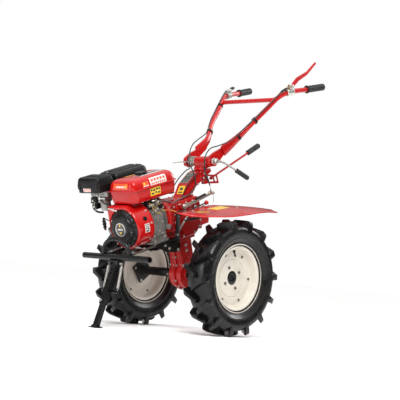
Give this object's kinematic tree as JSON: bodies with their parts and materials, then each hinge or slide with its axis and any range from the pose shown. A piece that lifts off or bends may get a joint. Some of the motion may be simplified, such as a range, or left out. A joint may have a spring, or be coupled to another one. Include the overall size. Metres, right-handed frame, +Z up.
{
  "type": "walking tiller",
  "caption": "Two-wheel petrol walking tiller with front engine, gearbox over the axle, lugged tyres, fenders, front prop stand and tilting handlebars.",
  "frame": {"origin": "on the ground, under the middle of the machine's box", "axes": "+X forward to the engine end, +Y to the machine's left, +Z up"},
  "size_m": [1.34, 0.798, 1.5381],
  "materials": {
    "red_paint": "glossy red enamel",
    "black_paint": "semi-gloss black powder coat",
    "cream_paint": "satin off-white enamel",
    "tyre_rubber": "matt black rubber",
    "grip_rubber": "matt black moulded rubber",
    "black_plastic": "matt black moulded plastic",
    "cast_alloy": "rough die-cast grey",
    "cast_red": "red-painted casting",
    "zinc": "zinc-plated steel",
    "steel": "machined steel"
  },
  "bodies": {
    "chassis": {"final_case_left": "cast_red", "final_case_right": "cast_red", "gearbox_case": "cast_red", "gearbox_cover": "cast_red", "clutch_bell": "cast_red", "crankcase": "cast_alloy", "crankcase_cover": "cast_alloy", "cylinder": "cast_alloy", "fan_cover": "red_paint", "recoil_starter": "black_plastic", "fuel_tank": "red_paint", "air_cleaner": "black_plastic", "carburettor": "cast_alloy", "muffler": "steel", "muffler_guard": "black_paint", "engine_frame": "black_paint", "bumper": "black_paint", "guard_arch": "black_paint", "fender_left": "red_paint", "fender_right": "red_paint", "column": "red_paint", "shift_gate": "red_paint", "hitch_bracket": "red_paint", "clutch_cable_lower": "black_plastic", "throttle_cable_lower": "black_plastic"},
    "wheels": {"tyre_left": "tyre_rubber", "tyre_right": "tyre_rubber", "rim_left": "cream_paint", "rim_right": "cream_paint", "hub_left": "black_paint", "hub_right": "black_paint", "axle_shaft": "steel", "final_gear": "steel"},
    "layshaft": {"layshaft_gear": "steel"},
    "crank_train": {"flywheel": "cast_alloy", "clutch_shaft": "steel"},
    "starter_pull": {"starter_grip": "black_plastic"},
    "tank_cap": {"fuel_cap": "black_paint"},
    "choke": {"choke_lever": "zinc"},
    "stand": {"stand_leg": "black_paint"},
    "stand_slide": {"stand_foot": "black_paint"},
    "pin": {"hitch_pin": "zinc"},
    "release_arm": {"clutch_arm": "zinc"},
    "reverse": {"reverse_lever": "red_paint"},
    "head": {"handle_head": "red_paint", "tilt_clutch": "zinc"},
    "swivel_lock": {"swivel_lever": "zinc"},
    "tilt_lock": {"lock_handle": "black_paint"},
    "handlebars": {"handle_tube_left": "red_paint", "handle_tube_right": "red_paint", "handle_cross_tube": "red_paint", "handle_grip_left": "grip_rubber", "handle_grip_right": "grip_rubber", "clutch_bracket": "zinc", "throttle_clamp": "black_plastic", "clutch_cable_upper": "black_plastic", "throttle_cable_upper": "black_plastic"},
    "clutch_hand_lever": {"clutch_lever": "red_paint"},
    "throttle": {"throttle_lever": "black_plastic"},
    "gear_shift": {"gear_lever": "red_paint"}
  },
  "joints": [
    {"name": "wheel_turn", "type": "hinge", "parent": "chassis", "child": "wheels", "pos_m": [0.05397, 0, 0.29483], "axis": [0, 1, 0], "continuous": true},
    {"name": "layshaft_turn", "type": "hinge", "parent": "chassis", "child": "layshaft", "pos_m": [0.07927, 0, 0.36756], "axis": [0, 1, 0], "continuous": true},
    {"name": "engine_turn", "type": "hinge", "parent": "chassis", "child": "crank_train", "pos_m": [0.16502, 0, 0.61407], "axis": [0.9445, 0, -0.3285], "continuous": true},
    {"name": "starter_pull_slide", "type": "slide", "parent": "chassis", "child": "starter_pull", "axis": [0.3154, -0.9481, 0.0409], "range_m": [0, 0.12]},
    {"name": "fuel_cap_turn", "type": "hinge", "parent": "chassis", "child": "tank_cap", "pos_m": [0.43244, 0, 0.77409], "axis": [0.3285, 0, 0.9445], "range_deg": [0, 90]},
    {"name": "choke_turn", "type": "hinge", "parent": "chassis", "child": "choke", "pos_m": [0.55777, -0.151, 0.63521], "axis": [0.9445, 0, -0.3285], "range_deg": [0, 45]},
    {"name": "stand_fold", "type": "hinge", "parent": "chassis", "child": "stand", "pos_m": [0.54606, 0, 0.31847], "axis": [0, 1, 0], "range_deg": [0, 90]},
    {"name": "stand_height", "type": "slide", "parent": "stand", "child": "stand_slide", "axis": [-0.2993, 0, 0.9541], "range_m": [-0.1, 0]},
    {"name": "hitch_pin_lift", "type": "slide", "parent": "chassis", "child": "pin", "axis": [0.3285, 0, 0.9445], "range_m": [0, 0.1]},
    {"name": "release_arm_swing", "type": "hinge", "parent": "chassis", "child": "release_arm", "pos_m": [0.20453, 0.1, 0.63632], "axis": [0, 1, 0], "range_deg": [0, 6]},
    {"name": "reverse_swing", "type": "hinge", "parent": "chassis", "child": "reverse", "pos_m": [0.23376, 0.116, 0.59863], "axis": [0, 1, 0], "range_deg": [-4, 4.5]},
    {"name": "handle_swivel", "type": "hinge", "parent": "chassis", "child": "head", "pos_m": [-0.00162, 0, 0.85943], "axis": [0.3285, 0, 0.9445], "range_deg": [-25, 25], "deforming": ["clutch_cable_lower", "throttle_cable_lower"]},
    {"name": "handle_tilt", "type": "hinge", "parent": "head", "child": "handlebars", "pos_m": [0.00865, 0, 0.89504], "axis": [0, 1, 0], "range_deg": [-11.5, 20], "deforming": ["clutch_cable_upper", "throttle_cable_upper"]},
    {"name": "swivel_lock_turn", "type": "hinge", "parent": "head", "child": "swivel_lock", "pos_m": [0.00865, -0.069, 0.89504], "axis": [0, 1, 0], "range_deg": [-30, 0]},
    {"name": "tilt_lock_turn", "type": "hinge", "parent": "head", "child": "tilt_lock", "pos_m": [0.00865, 0, 0.89504], "axis": [0, 1, 0], "range_deg": [-25, 0]},
    {"name": "clutch_squeeze", "type": "hinge", "parent": "handlebars", "child": "clutch_hand_lever", "pos_m": [-0.41661, 0.24, 1.36483], "axis": [0, 1, 0], "range_deg": [-14, 0], "stiffness_Nm_per_rad": 6, "springref_deg": 28.65},
    {"name": "throttle_turn", "type": "hinge", "parent": "handlebars", "child": "throttle", "pos_m": [-0.42614, -0.231, 1.36179], "axis": [0.3285, 0, 0.9445], "range_deg": [0, 60]},
    {"name": "gear_shift_swing", "type": "hinge", "parent": "chassis", "child": "gear_shift", "pos_m": [-0.06933, 0, 0.80782], "axis": [0, 1, 0], "range_deg": [-3, 3]}
  ],
  "couplings": [
    {"joint": "layshaft_turn", "follows": "wheel_turn", "ratio": -2.6667},
    {"joint": "release_arm_swing", "follows": "clutch_squeeze", "ratio": -0.42857}
  ]
}
